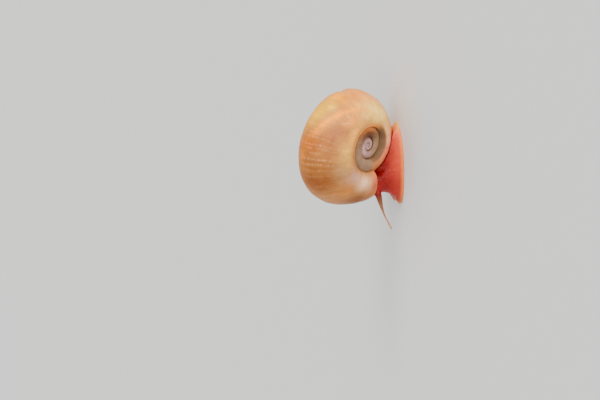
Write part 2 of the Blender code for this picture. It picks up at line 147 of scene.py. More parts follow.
# The eyes, each in a cup of skin with a low lid round it and painted shade in the cup.
EYE_RADIUS = 0.27 * MM
EYE_SINK = 0.07 * MM
EYE_STATION = 5.8
EYE_ANGLE = math.radians(18.0)
CUP_RADIUS = EYE_RADIUS + 0.03 * MM
LID_RADIUS = 0.36 * MM
LID_WIDTH = 0.1 * MM
LID_HEIGHT = 0.07 * MM
SOCKET_SHADE = 0.25 * MM
SOCKET_FADE = 0.16 * MM

# The skin's larger forms: the stretch pressed up to the shell, the tail's thin end, the mouth and its lips.
FLESH_VOXEL = 0.075 * MM
BODY_X = 0.3 * MM
SHELL_TOUCH = 0.11 * MM
PRESS_FRONT = -2.5 * MM
PRESS_BACK = 5.8 * MM
PRESS_WIDTH = 3.0 * MM
PRESS_REACH = 1.7 * MM
PRESS_LEAST = 0.01
TAIL_TAPER_START = 4.2 * MM
TAIL_TAPER_LENGTH = 2.6 * MM
TAIL_LOWER = 0.55
TAIL_NARROW = 0.3
TAIL_SHIFT = 0.5 * MM
MOUTH_HEIGHT = 0.75 * MM
MOUTH_STATION = 1.9
MOUTH_LEAN = math.radians(-40.0)
LIP_RADII = (0.3 * MM, 0.34 * MM, 0.5 * MM)
LIP_SPREAD = 0.36 * MM
LIP_SINK = 0.22 * MM
SLIT_WIDTH = 0.1 * MM
SLIT_HEIGHT = 0.5 * MM
SLIT_DEPTH = 0.2 * MM
RIM_HEIGHT = 0.75 * MM
FOOT_HALF_WIDTH = 3.4 * MM

# Fine relief of the skin: height in millimetres, stretch along X, Y and Z, wavelength in millimetres, seed.
LUMPS = [(0.020, (1.0, 1.0, 1.0), 0.42, 31), (0.010, (1.0, 1.0, 1.0), 0.2, 32)]
NECK_FOLDS = (0.045, (0.35, 0.5, 1.6), 0.5, 33)
FLANK_PLEATS = (0.035, (0.5, 1.8, 0.5), 0.7, 34)
RIM_WAVES = (0.06, (0.4, 1.0, 0.4), 1.4, 35)


def smooth_step(x):
    x = np.clip(x, 0.0, 1.0)
    return x * x * (3.0 - 2.0 * x)


def fade(x, start, length):
    """0 before start, 1 past start plus length and a smooth step between. A negative length fades out."""
    return smooth_step((x - start) / length)


def bell(x):
    """A bump that is 1 at 0 and falls off as exp(-x squared)."""
    return np.exp(-x * x)


def signed_power(x, power):
    return np.sign(x) * np.abs(x) ** power


def wrap(degrees):
    """The same angle between -180 and 180 degrees."""
    return (degrees + 180.0) % 360.0 - 180.0


def lattice_noise(points, wavelength, seed):
    """Smooth noise from -1 to 1: random values on a lattice one wavelength apart, blended by smooth steps."""
    cells = 32
    table = np.random.default_rng(seed).uniform(-1.0, 1.0, (cells,) * 3)
    place = points / wavelength
    corner = np.floor(place).astype(int)
    share = smooth_step(place - corner)
    total = np.zeros(points.shape[:-1])
    for step in np.ndindex(2, 2, 2):
        step = np.array(step)
        weight = np.prod(np.where(step == 1, share, 1.0 - share), axis=-1)
        x, y, z = np.moveaxis((corner + step) % cells, -1, 0)
        total += weight * table[x, y, z]
    return total


def whorl_size(t):
    """Size of the whorl at growth angle t: exp(a * turns - b * turns squared), 1 at the lip."""
    turns = t / TURN
    return np.exp(GROWTH * turns - GROWTH_BEND * turns ** 2)


def inner_whorl_radius(height, t, shoulder=1.0):
    """Outer radius, at a height along the axis, of the whorl one turn further in."""
    scale = whorl_size(t - TURN)
    reach = math.hypot(SECTION_AXIAL, SECTION_DROP) * shoulder
    side = np.clip((height / scale - (SPIRE_SINK - SECTION_AXIAL)) / reach, -1.0, 1.0)
    around = np.arcsin(side) + math.atan2(SECTION_DROP, SECTION_AXIAL)
    bulge = SECTION_RADIAL * np.cos(around) - SECTION_SKEW * np.sin(around)
    return scale * (SHELL_RADIUS - SECTION_RADIAL + bulge)


def lip_lead(t, along):
    """How far the umbilical side of a section runs ahead, which fades out one LIP_REACH behind the lip."""
    return LIP_LEAD * (1.0 - along) / 2.0 * fade(t, -LIP_REACH, LIP_REACH)


def whorl_ring(t, psi, wall=0.0, fill=1.0, clear=None, shoulder=1.0, fillet=0.0):
    """Points of a section in the shell's frame, where X points to the lip and Z along the axis.

    The section is a leaning ellipse, thinner by wall and shrunk to fill, turned by the growth angle and
    scaled by the whorl's size. Its half next to the axis is widened where needed to meet the whorl within, or
    the axis itself. clear holds it that far outside the whorl within. A fillet rounds the place where the two
    meet, by the smooth maximum (a + b + the root of (a - b) squared plus fillet squared) / 2.
    """
    across, along = np.cos(psi), np.sin(psi)
    angle = t + lip_lead(t, along)
    scale = whorl_size(angle)
    radius = SHELL_RADIUS - SECTION_RADIAL + fill * ((SECTION_RADIAL - wall) * across - SECTION_SKEW * along)
    height = SPIRE_SINK - SECTION_AXIAL + fill * ((SECTION_AXIAL - wall) * along - SECTION_DROP * across)
    radius = scale * radius
    height = scale * height
    within = np.where(angle > -(WHORLS - 1.0) * TURN, SHELL_RADIUS * whorl_size(angle - TURN), 0.0)
    gap = np.clip(scale * (SHELL_RADIUS - 2.0 * SECTION_RADIAL) - within, 0.0, None)
    gap = gap + AXIS_OVERLAP * fade(scale, 0.75, -0.25)
    radius = radius - gap * fill * np.clip(-across, 0.0, None)
    if clear is not None:
        inner = inner_whorl_radius(height, angle, shoulder) + clear
        rounding = fillet * scale ** FILLET_POWER
        radius = (radius + inner + np.sqrt((radius - inner) ** 2 + rounding ** 2)) / 2.0
    return np.stack([radius * np.cos(angle), radius * np.sin(angle), height], axis=-1)


def shell_axes():
    """Columns are the shell's own X, Y and Z in the animal's frame, from the lean, yaw and turn."""
    axis = np.array([
        math.cos(SHELL_LEAN) * math.cos(SHELL_YAW), math.cos(SHELL_LEAN) * math.sin(SHELL_YAW),
        -math.sin(SHELL_LEAN)])
    forward = np.array([0.0, -1.0, 0.0])
    across = forward - forward.dot(axis) * axis
    across /= np.linalg.norm(across)
    to_lip = math.cos(SHELL_TURN) * across + math.sin(SHELL_TURN) * np.cross(axis, across)
    return np.stack([to_lip, np.cross(axis, to_lip), axis], axis=1)


AXES = shell_axes()


def in_world(points):
    return points @ AXES.T + APEX


def in_shell(points):
    return (points - APEX) @ AXES


def surface(name, grid, colours=None, values=None, marks=None):
    """Mesh object from a grid of points whose rows are closed rings, with a fan of faces at each end.

    colours and values are per grid point, and marks holds the two texture coordinates, (rows, points + 1, 2).
    """
    rows, points = grid.shape[:2]
    poles = np.stack([grid[0].mean(axis=0), grid[-1].mean(axis=0)])
    corners = np.concatenate([grid.reshape(-1, 3), poles]) - BOX_MIDDLE
    row, point = np.meshgrid(np.arange(rows - 1), np.arange(points), indexing="ij")
    after = (point + 1) % points
    quads = np.stack([row * points + point, row * points + after,
                      (row + 1) * points + after, (row + 1) * points + point], axis=-1).reshape(-1, 4)
    ring = np.arange(points)
    ring_after = (ring + 1) % points
    first_pole = np.full(points, rows * points)
    last = (rows - 1) * points
    fans = np.concatenate([np.stack([ring_after, ring, first_pole], axis=-1),
                           np.stack([last + ring, last + ring_after, first_pole + 1], axis=-1)])
    a, b, c, d = (corners[quads[:, i]] for i in range(4))
    outward = np.sum(a * np.cross(b, c)) + np.sum(a * np.cross(c, d)) > 0.0
    if not outward:
        quads, fans = quads[:, ::-1], fans[:, ::-1]
    mesh = bpy.data.meshes.new(name)
    mesh.from_pydata(corners.tolist(), [], quads.tolist() + fans.tolist())
    obj = bpy.data.objects.new(name, mesh)
    bpy.context.scene.collection.objects.link(obj)
    if colours is not None:
        ends = np.stack([colours[0].mean(axis=0), colours[-1].mean(axis=0)])
        add_colour(mesh, "tint", np.concatenate([colours.reshape(-1, 3), ends]))
    for label, amounts in (values or {}).items():
        ends = np.array([amounts[0].mean(), amounts[-1].mean()])
        add_value(mesh, label, np.concatenate([amounts.reshape(-1), ends]))
    if marks is not None:
        here = marks[:-1, :-1].reshape(-1, 2)
        beside = marks[:-1, 1:].reshape(-1, 2)
        beyond = marks[1:, 1:].reshape(-1, 2)
        ahead = marks[1:, :-1].reshape(-1, 2)
        loops = np.stack([here, beside, beyond, ahead], axis=1)
        start = np.stack([marks[0, 1:], marks[0, :-1], marks[0, :-1]], axis=1)
        stop = np.stack([marks[-1, :-1], marks[-1, 1:], marks[-1, 1:]], axis=1)
        ends = np.concatenate([start, stop])
        if not outward:
            loops, ends = loops[:, ::-1], ends[:, ::-1]
        layer = mesh.uv_layers.new(name="growth")
        layer.data.foreach_set("uv", np.concatenate([loops.reshape(-1), ends.reshape(-1)]))
    mesh.shade_smooth()
    return obj


def add_colour(mesh, label, colours):
    layer = mesh.attributes.new(label, "FLOAT_COLOR", "POINT")
    full = np.concatenate([colours, np.ones((len(colours), 1))], axis=1)
    layer.data.foreach_set("color", full.reshape(-1))


def add_value(mesh, label, amounts):
    layer = mesh.attributes.new(label, "FLOAT", "POINT")
    layer.data.foreach_set("value", np.ascontiguousarray(amounts, dtype=float))


def read_rows(items, label, width, kind=float):
    """One property of all of a mesh's points or edges, as an array with that many columns."""
    flat = np.empty(len(items) * width, dtype=kind)
    items.foreach_get(label, flat)
    return flat.reshape(-1, width)


def grid_normals(grid):
    """Outward unit normals of a grid of rings: the cross product of the steps along and round it."""
    along = np.gradient(grid, axis=0)
    round_ring = np.roll(grid, -1, axis=1) - np.roll(grid, 1, axis=1)
    normals = np.cross(along, round_ring)
    normals /= np.linalg.norm(normals, axis=-1, keepdims=True) + 1e-12
    from_middle = grid - grid.mean(axis=1, keepdims=True)
    side = np.sign(np.sum(normals * from_middle, axis=(1, 2), keepdims=True))
    return normals * side


def linear(red, green, blue):
    """Linear colour from screen values of 0 to 255."""
    screen = np.array([red, green, blue]) / 255.0
    return np.where(screen <= 0.04045, screen / 12.92, ((screen + 0.055) / 1.055) ** 2.4)


# Colour patches of the shell: growth angle and section angle of the middle in degrees, reach in each, slant
# in degrees of growth for each degree round the section, colour, and strength.
HORN_BASE = linear(184, 122, 66)
HORN_PATCHES = [
    # the far half turn: peach on its back, cream with a little green at the crest made brighter as painted
    # light, pink beside the pit
    (-230, 10, 50, 70, 0.0, linear(222, 146, 70), 0.9),
    (-182, 20, 18, 40, 0.0, linear(236, 138, 44), 0.8),
    (-206, 70, 38, 36, 0.0, linear(255, 216, 116), 1.0),
    (-196, 92, 14, 20, 0.0, linear(252, 206, 84), 0.6),
    (-246, 96, 24, 20, 0.0, linear(255, 200, 128), 0.95),
    (-302, 84, 40, 28, 0.0, linear(236, 128, 96), 0.95),
    (-276, 92, 18, 18, 0.0, linear(255, 176, 146), 0.8),
    # the gold end of the growth and the olive yellow band after it, whose green cast is a painted reflection
    (-163, -6, 9, 26, 0.0, linear(240, 150, 0), 1.0),
    (-140, -20, 16, 24, -0.2, linear(222, 168, 0), 1.0),
    (-148, 2, 5, 8, 0.0, linear(246, 186, 40), 0.7),
    # the bright peach stripe, which crosses the band aslant, and the mauve tan zone after it
    (-138, 18, 9, 50, -0.95, linear(255, 156, 30), 1.0),
    (-124, 44, 14, 22, -0.5, linear(168, 104, 64), 0.95),
    (-150, 60, 12, 14, -0.4, linear(240, 150, 56), 0.8),
    (-149, 44, 1.2, 6, 0.0, linear(250, 176, 110), 0.5),
    (-140, 50, 1.6, 8, -0.5, linear(250, 176, 110), 0.5),
    (-128, 84, 34, 14, 0.0, linear(244, 168, 66), 0.9),
    # brown orange flank with its darker bands down to the lip, deepened as painted shade on the side away
    # from the light
    (-106, -10, 13, 38, 0.0, linear(164, 82, 18), 0.9),
    (-98, 34, 12, 26, 0.0, linear(176, 112, 58), 0.8),
    (-84, 0, 12, 46, 0.0, linear(162, 100, 46), 0.85),
    (-66, 6, 10, 50, 0.0, linear(144, 76, 32), 0.85),
    (-94, 78, 22, 20, 0.0, linear(226, 170, 78), 0.9),
    (-72, 62, 14, 18, 0.0, linear(184, 138, 92), 0.8),
    # the lilac patch by the lip, the gold band under it and the brown lip, partly painted shade on the side
    # away from the light
    (-52, 88, 15, 20, 0.0, linear(206, 156, 132), 0.95),
    (-28, 92, 16, 22, 0.0, linear(255, 204, 164), 0.95),
    (-44, 50, 8, 22, 0.0, linear(206, 128, 50), 0.9),
    (-20, 36, 13, 26, 0.0, linear(122, 62, 4), 0.95),
    (-3, 96, 7, 34, 0.0, linear(214, 104, 74), 0.9),
]
WALL_COLOUR = linear(250, 160, 76)
# painted shade for the stretch of the pit's wall that faces away from the light
WALL_PAINTED_SHADE = linear(114, 88, 66)
PIT_COLOUR = linear(150, 123, 99)
# the pit's dark arc: partly its own darker colour, partly painted shadow of the pit's upper wall
PIT_DARK_AND_PAINTED_SHADOW = linear(90, 54, 36)
PIT_GLOW = linear(204, 128, 62)
NUCLEUS_COLOUR = linear(174, 136, 136)
NUCLEUS_LINE = linear(208, 176, 172)
SEAM_COLOUR = linear(84, 54, 38)
# painted light that lightens the shade in two stretches of the seams' creases
SEAM_PAINTED_LIGHT = linear(208, 166, 128)
UMBILICUS_COLOUR = linear(190, 116, 62)
UMBILICUS_DEEP = linear(134, 84, 58)
INSIDE_COLOUR = linear(226, 172, 140)


def mix(colours, other, share):
    share = np.asarray(share)[..., None]
    return colours * (1.0 - share) + np.asarray(other) * share


def spot(degrees, around, growth, section, growth_reach, section_reach, slant=0.0):
    """1 at a place on the shell, falling off as a bell over the reach in each angle."""
    aside = wrap(around - section)
    return bell((degrees - growth - slant * aside) / growth_reach) * bell(aside / section_reach)


def growth_distance(t):
    """Millimetres grown along the periphery up to growth angle t, from the summed size of the whorl."""
    steps = np.linspace(-WHORLS * TURN - 1.0, 1.0, 6000)
    speed = whorl_size(steps) * SHELL_RADIUS / MM
    grown = np.concatenate([[0.0], np.cumsum((speed[1:] + speed[:-1]) / 2.0 * np.diff(steps))])
    return np.interp(t, steps, grown)


def pulses(distance, spacing, jitter, width, seed):
    """Narrow ridges at uneven spacing: a sum of bells of the distances to the three nearest places."""
    count = 600
    draws = np.random.default_rng(seed)
    places = np.cumsum(spacing * (1.0 + jitter * draws.uniform(-1.0, 1.0, count)))
    heights = draws.uniform(0.35, 1.0, count)
    nearest = np.clip(np.searchsorted(places, distance), 1, count - 2)
    total = np.zeros_like(distance)
    for shift in (-1, 0, 1):
        total += heights[nearest + shift] * bell((distance - places[nearest + shift]) / width)
    return total


def shell_rows():
    """For each row its growth angle, fill, wall, clearance from the whorl within, and 1 outside or 0 inside.

    The rows run over the nucleus's dome and the whorls, round the lip's edge, back into the mouth and over
    its closing dome. Rows per growth angle go with the whorl's size to a power. Domes follow a circle.
    """
    fine = np.linspace(-WHORLS * TURN, 0.0, 4000)
    pace = np.cumsum(np.concatenate([[0.0], whorl_size(fine[1:]) ** ROW_POWER]))
    whorls = np.interp(np.linspace(0.0, pace[-1], SHELL_ROWS), pace, fine)
    dome = np.linspace(0.97, 0.1, 8)
    edge = np.linspace(-math.pi / 2.0, math.pi / 2.0, 9)[1:-1]
    half_edge = (1.0 + np.sin(edge)) / 2.0
    depth = np.linspace(0.0, 1.0, 46) ** 1.3
    wall_in = WALL_AT_LIP + (WALL_INSIDE - WALL_AT_LIP) * smooth_step(depth * 2.0)
    clear_edge = half_edge * (CALLUS + HIDDEN_OVERLAP) - HIDDEN_OVERLAP
    close = dome[::-1]
    sections = [
        (-WHORLS * TURN - dome * NUCLEUS_DOME, np.sqrt(1.0 - dome ** 2), 0.0, -HIDDEN_OVERLAP, 1.0),
        (whorls, 1.0, 0.0, -HIDDEN_OVERLAP, 1.0),
        (np.cos(edge) * WALL_AT_LIP / 2.0 / SHELL_RADIUS, 1.0, half_edge * WALL_AT_LIP, clear_edge, 1.0),
        (-depth * MOUTH_DEPTH, 1.0, wall_in, CALLUS, 0.0),
        (-MOUTH_DEPTH - close * MOUTH_CLOSE, np.sqrt(1.0 - close ** 2), WALL_INSIDE, CALLUS, 0.0),
    ]
    return np.concatenate([np.stack(np.broadcast_arrays(*section)) for section in sections], axis=1)


def shell_tint(degrees, around, in_seam):
    """Colour at growth and section angles in degrees, given how deep in a seam each point lies."""
    colours = np.broadcast_to(HORN_BASE, degrees.shape + (3,))
    for *place, colour, strength in HORN_PATCHES:
        colours = mix(colours, colour, strength * spot(degrees, around, *place))
    turns_back = -degrees / 360.0
    spire_side = fade(np.sin(np.radians(around)), -0.3, 0.6)
    colours = mix(colours, UMBILICUS_COLOUR, 0.8 * fade(around, -50.0, -60.0))
    colours = mix(colours, UMBILICUS_DEEP, 0.9 * (1.0 - spire_side) * fade(turns_back, 0.5, 1.6))

    # the pit's wall, its own warm colour at first and painted shade further round, where it faces away from
    # the light
    on_wall = fade(around, 100.0, 18.0) * fade(around, 172.0, -20.0) * fade(degrees, -70.0, -60.0)
    painted_shade_on_wall = fade(degrees, -190.0, -50.0)[..., None]
    colours = mix(colours, WALL_COLOUR * (1.0 - painted_shade_on_wall) + WALL_PAINTED_SHADE * painted_shade_on_wall, on_wall)

    # the pit's floor, with a dark arc that is partly its own colour and partly painted shadow of the upper
    # wall, and the wall's warm glow at its foot
    in_pit = fade(turns_back, PIT_TURNS, 0.06) * spire_side
    colours = mix(colours, PIT_COLOUR, in_pit)
    colours = mix(colours, PIT_DARK_AND_PAINTED_SHADOW, 0.95 * in_pit * bell((degrees + 540.0) / 60.0))
    under_wall = bell((degrees + 545.0) / 60.0) * fade(around, 92.0, -32.0)
    colours = mix(colours, PIT_GLOW, in_pit * under_wall)

    # the nucleus, with a pale line along its crest
    in_nucleus = fade(turns_back, NUCLEUS_TURNS, 0.16) * spire_side
    colours = mix(colours, NUCLEUS_COLOUR, in_nucleus)
    crest = bell((around - 84.0) / 15.0) * fade(turns_back, NUCLEUS_TURNS + 0.05, 0.3)
    colours = mix(colours, NUCLEUS_LINE, 0.6 * crest)

    # the seams, dark but softer on some stretches, with painted light on two stretches of the spire side
    # against the crease's shade
    seam = smooth_step(in_seam)
    softer = 0.3 * in_nucleus + 0.5 * fade(degrees, -90.0, 50.0)
    softer += 0.4 * bell((degrees + 300.0) / 45.0) + 0.6 * bell((degrees + 230.0) / 90.0)
    colours = mix(colours, SEAM_COLOUR, seam * np.clip(0.6 - softer, 0.0, 1.0))
    painted_light_in_seam = seam * bell((degrees + 280.0) / 90.0)
    painted_light_in_seam += in_pit * bell((degrees + 640.0) / 80.0) * bell((around - 58.0) / 10.0)
    return mix(colours, SEAM_PAINTED_LIGHT, 0.8 * spire_side * np.clip(painted_light_in_seam, 0.0, 1.0))


def make_shell():
    """The tube of the shell, from the rounded nucleus out to the lip and back inside the mouth.

    A point is the section ellipse at section angle psi, carried round the axis by growth angle t and scaled
    by the whorl's size. Growth ridges, dents, the rest mark and the lip's flare move it along its normal.
    """
    rows = shell_rows()
    t, psi = np.meshgrid(rows[0], np.arange(SHELL_POINTS) * TURN / SHELL_POINTS, indexing="ij")
    fill, wall, clear, outside = rows[1:, :, None]
    degrees, around = np.degrees(t), wrap(np.degrees(psi))
    over_inner = t > -(WHORLS - 1.0) * TURN
    clear = np.where(over_inner, clear, -SHELL_RADIUS)
    rounder = 1.0 + 0.5 * bell((degrees + 270.0) / 110.0)
    fillet = SUTURE_FILLET * outside * fade(degrees, 0.0, -20.0) * rounder
    grid = whorl_ring(t, psi, wall, fill, clear, fillet=fillet)

    scale = whorl_size(t)
    lead = lip_lead(t, np.sin(psi))
    sweep = np.radians(4.0) * fade(around, 20.0, 50.0)
    distance = growth_distance(t + lead * fade(around, -20.0, -60.0) - sweep)
    relief = sum(height * pulses(distance, *lines) for height, *lines in GROWTH_RIDGES)
    relief += sum(height * lattice_noise(grid, wavelength * MM, seed) for height, wavelength, seed in DENTS)
    relief -= REST_MARK_DEPTH * spot(degrees, around, *REST_MARK_PLACE)
    relief += LIP_FLARE * outside * fade(degrees, -34.0, 30.0) * bell((around - 34.0) / 46.0)
    relief *= np.where(outside > 0.5, scale ** RELIEF_POWER, RELIEF_INSIDE) * fill
    grid = grid + grid_normals(grid) * relief[..., None] * MM

    radius = np.hypot(grid[..., 0], grid[..., 1])
    to_inner = (radius - inner_whorl_radius(grid[..., 2], t + lead)) / (SEAM_WIDTH * scale ** 0.5)
    under_crest = over_inner & (np.sin(psi) > -0.6) & (np.cos(psi) < 0.0)
    in_seam = np.where(under_crest, bell(np.clip(to_inner, 0.0, None)), 0.0)
    colours = mix(shell_tint(degrees, around, in_seam), INSIDE_COLOUR, 1.0 - outside)
    between_lines = 1.0 - pulses(distance, *BROWN_LINES)
    colours = colours * (1.0 - 0.2 * between_lines * spot(degrees, around, *BROWN_LINE_PLACE))[..., None]
    pale = pulses(distance, *PALE_LINES) * (0.12 + 0.88 * spot(degrees, around, *PALE_LINE_PLACE))
    steps = np.arange(SHELL_POINTS + 1) * TURN / SHELL_POINTS
    marks = np.stack([
        np.concatenate([distance, distance[:, :1]], axis=1), steps * scale[:, :1] * ROUND_MARKS], axis=-1)
    return surface("shell_horn", in_world(grid), colours, {"pale_line": pale}, marks)


def through_rows(x, rows):
    """Smooth values at positions x between equally spaced rows, by cubic Hermite pieces."""
    x = np.clip(x, 0.0, len(rows) - 1.0)
    low = np.minimum(x.astype(int), len(rows) - 2)
    f = (x - low)[..., None]
    slope = np.gradient(rows, axis=0)
    start = (1.0 + 2.0 * f) * (1.0 - f) ** 2 * rows[low] + f * (1.0 - f) ** 2 * slope[low]
    end = f * f * (3.0 - 2.0 * f) * rows[low + 1] - f * f * (1.0 - f) * slope[low + 1]
    return start + end


def off_inner_whorl(points):
    """Points in the shell's frame, moved out from the axis to lie just off the whorl under the lip.

    The callus counts inside the mouth, and fades out over the first degrees in front of the lip.
    """
    angle = np.arctan2(points[..., 1], points[..., 0])
    radius = np.hypot(points[..., 0], points[..., 1])
    callus = CALLUS * fade(angle, math.radians(32.0), -math.radians(20.0))
    radius = np.maximum(radius, inner_whorl_radius(points[..., 2], angle, UNDER_MOUTH) + callus + SKIN_GAP)
    return np.stack([radius * np.cos(angle), radius * np.sin(angle), points[..., 2]], axis=-1)


def flesh_ring(station, phi):
    """Points of one ring of flesh: superellipse halves up to the neck, then a blend into the mouth."""
    front_y, front_z, back_y, back_z, width, middle, front_p, back_p, back_q = np.moveaxis(
        through_rows(np.asarray(station, float), FLESH_STATIONS), -1, 0)
    c, s = np.cos(phi), np.sin(phi)
    along = signed_power(c, np.where(c > 0.0, 2.0 / front_p, 2.0 / back_p))
    aside = signed_power(s, np.where(c > 0.0, 2.0 / front_p, 2.0 / back_q))
    x = (middle + width * aside) * MM
    y = ((front_y + back_y) + along * (front_y - back_y)) / 2.0 * MM
    z = ((front_z + back_z) + along * (front_z - back_z)) / 2.0 * MM
    notch = NOTCH_DEPTH * bell((x - middle * MM) / NOTCH_WIDTH)
    y = y + notch * bell((station - NOTCH_STATION) / NOTCH_RANGE) * np.clip(c, 0.0, 1.0)
    rise = np.clip(station - NECK_STATION, 0.0, LIP_STATION - NECK_STATION)
    ring = np.stack([x, y, z + rise * NECK_RISE], axis=-1)
    depth = np.clip(station - INWARD_STATION, 0.0, None)
    mouth = whorl_ring(-depth * STATION_TURN, phi, wall=WALL_INSIDE + SKIN_GAP, clear=CALLUS + SKIN_GAP,
                       shoulder=UNDER_MOUTH)
    turn = smooth_step(rise / (LIP_STATION - NECK_STATION))[..., None]
    return in_world(off_inner_whorl((1.0 - turn) * in_shell(ring) + turn * mouth))


def body_grid():
    """Rings of flesh from the middle of the sole outwards, up the body and into the shell's mouth."""
    stations = np.linspace(0.0, INWARD_STATION + MANTLE_DEPTH / STATION_TURN, BODY_ROWS)
    station, phi = np.meshgrid(stations, np.arange(BODY_POINTS) * TURN / BODY_POINTS, indexing="ij")
    body = flesh_ring(station, phi)
    middle = body[:1].mean(axis=1, keepdims=True)
    shrink = np.linspace(0.02, 1.0, SOLE_ROWS)[:-1, None, None]
    return np.concatenate([middle + (body[:1] - middle) * shrink, body])


def tube(path, radii, points=28):
    """Grid of rings round a path, each ring square to it and level on two sides."""
    direction = np.gradient(path, axis=0)
    direction /= np.linalg.norm(direction, axis=-1, keepdims=True)
    side = np.cross(direction, np.array([0.0, 0.0, 1.0]))
    side /= np.linalg.norm(side, axis=-1, keepdims=True)
    other = np.cross(direction, side)
    around = np.arange(points) * TURN / points
    ring = np.cos(around)[None, :, None] * side[:, None] + np.sin(around)[None, :, None] * other[:, None]
    return path[:, None] + ring * radii[:, None, None]


def tentacle_path(points, count=140):
    """A dense path through the few points of a tentacle, and the share of its length at each step."""
    rows = np.array(points) * MM
    path = through_rows(np.linspace(0.0, len(rows) - 1.0, 600), rows)
    length = np.concatenate([[0.0], np.cumsum(np.linalg.norm(np.diff(path, axis=0), axis=1))])
    share = np.linspace(0.0, 1.0, count)
    return np.stack([np.interp(share * length[-1], length, path[:, i]) for i in range(3)], axis=-1), share


def tentacle_radii(share):
    """Radii along a tentacle: a smooth cone, a flare that falls off by exp from the root, and a round tip."""
    cone = fade(share, TENTACLE_CONE_END, TENTACLE_ROOT_END - TENTACLE_CONE_END)
    radii = TENTACLE_TIP_RADIUS + (TENTACLE_ROOT_RADIUS - TENTACLE_TIP_RADIUS) * cone
    radii += ROOT_FLARE * np.exp(-np.clip(share - TENTACLE_ROOT_END, 0.0, None) * ROOT_FLARE_FADE)
    past = np.clip((share - 1.0 + TENTACLE_ROUND) / TENTACLE_ROUND, 0.0, 0.98)
    return radii * np.sqrt(1.0 - past ** 2)


def ball(centre, radii, tilt=0.0, rows=40, points=48):
    """Grid of an ellipsoid: circles of latitude scaled by three radii and tilted about X."""
    latitude = np.linspace(0.02, math.pi - 0.02, rows)[:, None]
    around = (np.arange(points) * TURN / points)[None, :]
    unit = np.stack([np.sin(latitude) * np.cos(around), np.sin(latitude) * np.sin(around),
                     np.cos(latitude) * np.ones_like(around)], axis=-1)
    shape = unit * np.array(radii)
    c, s = math.cos(tilt), math.sin(tilt)
    turned = np.stack([shape[..., 0], c * shape[..., 1] - s * shape[..., 2],
                       s * shape[..., 1] + c * shape[..., 2]], axis=-1)
    return turned + np.array(centre)


def eye_place(side):
    """Centre of an eye and the skin's outward direction there, at the inner base of a tentacle."""
    phi = side * EYE_ANGLE
    step = 0.05
    here = flesh_ring(np.array(EYE_STATION), np.array(phi))
    round_ring = flesh_ring(np.array(EYE_STATION), np.array(phi + step)) - here
    up_side = flesh_ring(np.array(EYE_STATION + step), np.array(phi)) - here
    out = np.cross(up_side, round_ring)
    out /= np.linalg.norm(out)
    if out[1] > 0.0:
        out = -out
    return here - out * EYE_SINK, out


def one_skin(pieces):
    """The pieces joined, and made one closed surface by a voxel remesh and a light smoothing."""
    skin = pieces[0]
    skin.name = "skin"
    with bpy.context.temp_override(
            active_object=skin, selected_objects=pieces, selected_editable_objects=pieces):
        bpy.ops.object.join()
    remesh = skin.modifiers.new("One skin", "REMESH")
    remesh.mode = "VOXEL"
    remesh.voxel_size = FLESH_VOXEL
    smoothing = skin.modifiers.new("Soften", "SMOOTH")
    smoothing.factor = 0.5
    smoothing.iterations = 6
    bpy.context.view_layer.update()
    mesh = bpy.data.meshes.new_from_object(skin.evaluated_get(bpy.context.evaluated_depsgraph_get()))
    skin.modifiers.clear()
    skin.data = mesh
    mesh.shade_smooth()
    return skin


def height_to_shell(points, shell):
    """Height from each point straight up to the shell's underside, or 0 where that is past PRESS_REACH.

    A cloud of the points is projected along Z by a shrinkwrap, which leaves out faces that are turned away.
    """
    start = points - BOX_MIDDLE
    mesh = bpy.data.meshes.new("skin_cloud")
    mesh.from_pydata(start.tolist(), [], [])
    cloud = bpy.data.objects.new("skin_cloud", mesh)
    bpy.context.scene.collection.objects.link(cloud)
    projection = cloud.modifiers.new("Up to the shell", "SHRINKWRAP")
    projection.target = shell
    projection.wrap_method = "PROJECT"
    projection.use_project_z = True
    projection.project_limit = PRESS_REACH
    projection.cull_face = "BACK"
    bpy.context.view_layer.update()
    raised = read_rows(cloud.evaluated_get(bpy.context.evaluated_depsgraph_get()).data.vertices, "co", 3)
    bpy.data.objects.remove(cloud)
    bpy.data.meshes.remove(mesh)
    return (raised - start)[:, 2]


def press_to_shell(points, normals, shell):
    """Skin under the shell's belly, raised along Z to lie SHELL_TOUCH below it.

    The rise is the height to the shell straight above. It fades out over gaps near PRESS_REACH, on skin that
    faces sideways or down, and at the ends and sides of the stretch that the shell rests on.
    """
    x, y, _ = points.T
    stretch_under = fade(y, PRESS_FRONT, 1.0 * MM) * fade(y, PRESS_BACK, -0.8 * MM)
    share = stretch_under * fade(normals[:, 2], -0.1, 0.5) * fade(np.abs(x - BODY_X), PRESS_WIDTH, -0.8 * MM)
    share = np.where(share > PRESS_LEAST, share, 0.0)
    above = height_to_shell(points, shell)
    raised = points.copy()
    raised[:, 2] += np.clip(above - SHELL_TOUCH, 0.0, None) * share * fade(above, PRESS_REACH, -0.7 * MM)
    return raised


def relax(points, edges, share, rounds):
    """Points moved towards the mean of their neighbours, each by its own share, in a number of rounds."""
    count = len(points)
    first, second = edges.T
    neighbours = np.bincount(edges.reshape(-1), minlength=count)
    for _ in range(rounds):
        total = np.stack([
            np.bincount(first, points[second, i], count) + np.bincount(second, points[first, i], count)
            for i in range(3)], axis=-1)
        points = points + share[:, None] * (total / neighbours[:, None] - points)
    return points


def settle_skin(points, normals, edges, shell):
    """The skin's large forms: flanks relaxed, pressed up to the shell, relaxed again, and a thin tail end."""
    _, y, z = points.T
    flank = fade(z, 0.5 * MM, 0.6 * MM) * fade(z, 4.6 * MM, -0.9 * MM) * fade(y, -4.4 * MM, 0.8 * MM)
    points = relax(points, edges, 0.9 * flank, 40)
    points = press_to_shell(points, normals, shell)
    points = relax(points, edges, 0.5 * flank, 6)
    to_tail = fade(points[:, 1], TAIL_TAPER_START, TAIL_TAPER_LENGTH)
    points[:, 2] *= 1.0 - TAIL_LOWER * to_tail
    points[:, 0] = BODY_X + (points[:, 0] - BODY_X) * (1.0 - TAIL_NARROW * to_tail) + TAIL_SHIFT * to_tail
    return points


